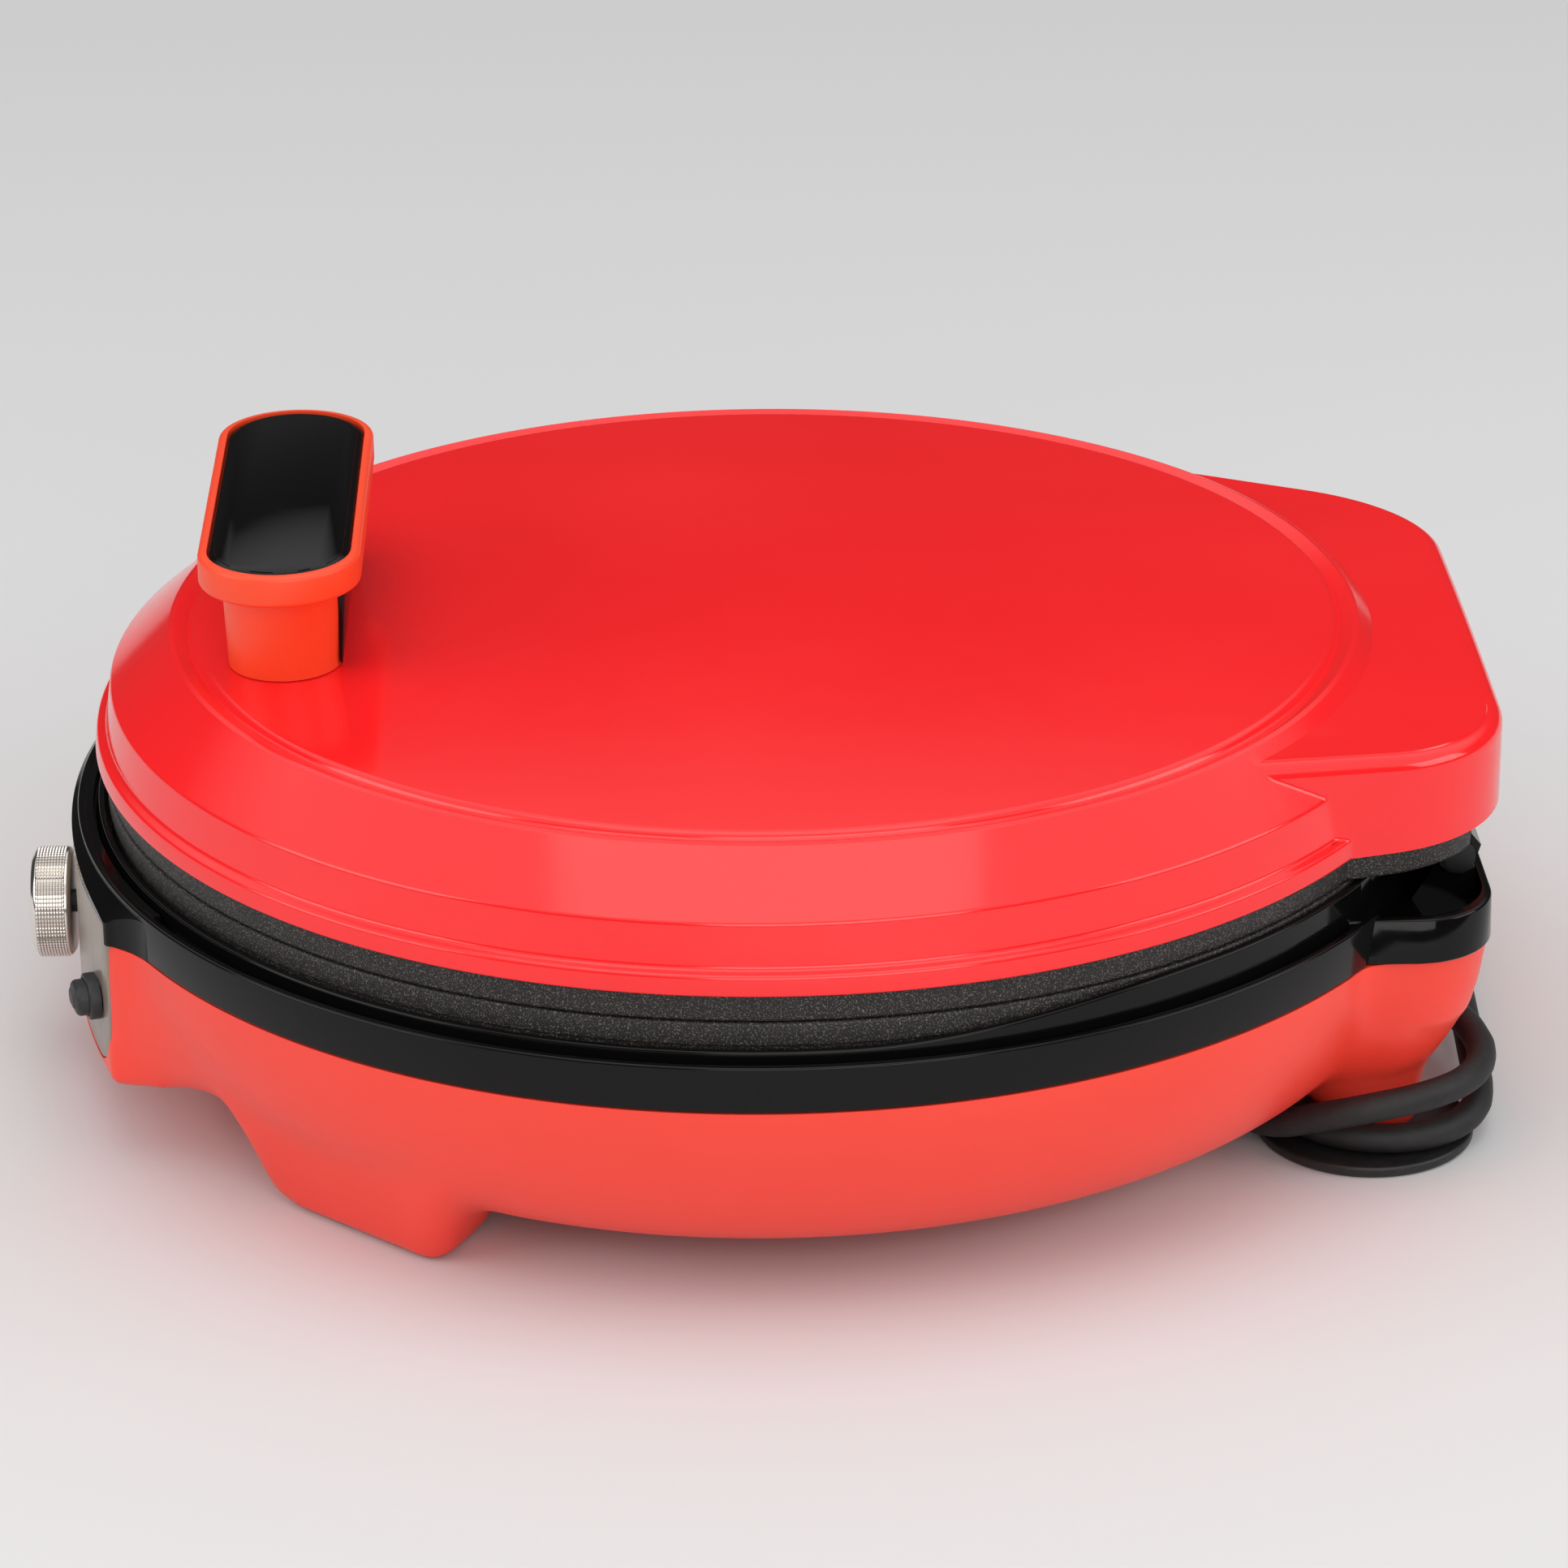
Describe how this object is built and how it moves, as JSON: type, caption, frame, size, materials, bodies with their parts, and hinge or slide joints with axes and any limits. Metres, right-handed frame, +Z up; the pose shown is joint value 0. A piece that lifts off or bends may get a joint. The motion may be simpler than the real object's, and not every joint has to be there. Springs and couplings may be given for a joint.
{
  "type": "electric pizza maker",
  "caption": "Round countertop pizza maker with a hinged lid, raised bar handle, non-stick plates, control box with knob and button, and a cord wound under the base.",
  "frame": {"origin": "middle of the footprint at table height, with the loose lead and its plug left out", "axes": "+Z up, +Y towards the hinge at the rear, so the handle and the control panel face -Y, +X to the right for someone who stands behind the maker and looks at its front"},
  "size_m": [0.364, 0.3786, 0.151],
  "materials": {
    "base_red": "satin red moulded plastic",
    "lid_red": "high gloss red moulded plastic",
    "handle_red": "satin orange red moulded plastic",
    "gloss_black": "high gloss black",
    "nonstick": "cast aluminium with a dark speckled non-stick coating",
    "panel_grey": "semi-gloss warm grey",
    "chrome": "polished chrome plating",
    "rubber": "matt black rubber",
    "black_plastic": "matt black moulded plastic",
    "steel": "zinc plated steel",
    "sheet": "aluminised steel sheet",
    "black_steel": "blackened steel",
    "heater": "oxidised heater sheath",
    "ceramic": "white heat-proof moulding",
    "brass": "bright brass"
  },
  "bodies": {
    "base": {"base_shell": "base_red", "front_foot_pad_right": "rubber", "front_foot_pad_left": "rubber", "cord_flange_right": "black_plastic", "cord_flange_left": "black_plastic", "cord_flange_screw_right": "steel", "cord_flange_screw_left": "steel", "trim_ring": "gloss_black", "lower_plate": "nonstick", "lower_heater": "heater", "lower_reflector": "sheet", "lower_heater_clamp": "steel", "lower_plate_screw_1": "steel", "lower_plate_screw_2": "steel", "lower_plate_screw_3": "steel", "thermal_cutout": "ceramic", "hinge_post_right": "gloss_black", "hinge_post_left": "gloss_black", "hinge_pin_right": "black_steel", "hinge_pin_left": "black_steel", "control_panel": "panel_grey", "thermostat": "ceramic", "button_bezel": "black_plastic", "power_switch": "ceramic", "terminal_block": "ceramic", "power_cord": "rubber", "strain_relief": "rubber", "plug_body": "black_plastic", "plug_live_pin": "brass", "plug_neutral_pin": "brass", "plug_earth_pin": "brass"},
    "lid": {"lid_shell": "lid_red", "upper_plate": "nonstick", "upper_heater": "heater", "upper_reflector": "sheet", "upper_heater_clamp": "steel", "upper_plate_screw_1": "steel", "upper_plate_screw_2": "steel", "upper_plate_screw_3": "steel", "handle_grip": "handle_red", "handle_insert": "gloss_black", "handle_rear_cover": "gloss_black", "handle_screw_1": "steel", "handle_screw_2": "steel", "hinge_bracket_right": "black_steel", "hinge_bracket_left": "black_steel"},
    "knob": {"knob": "chrome", "thermostat_shaft": "brass"},
    "button": {"power_button": "black_plastic"}
  },
  "joints": [
    {"name": "lid_hinge", "type": "hinge", "parent": "base", "child": "lid", "pos_m": [0, 0.17448, 0.0775], "axis": [-1, 0, 0], "range_deg": [0, 95]},
    {"name": "knob_turn", "type": "hinge", "parent": "base", "child": "knob", "pos_m": [0.008, -0.17568, 0.041], "axis": [0, 1, 0], "range_deg": [0, 270]},
    {"name": "button_press", "type": "slide", "parent": "base", "child": "button", "axis": [-0.2826, 0.9592, 0], "range_m": [0, 0.002], "stiffness_N_per_m": 600}
  ]
}
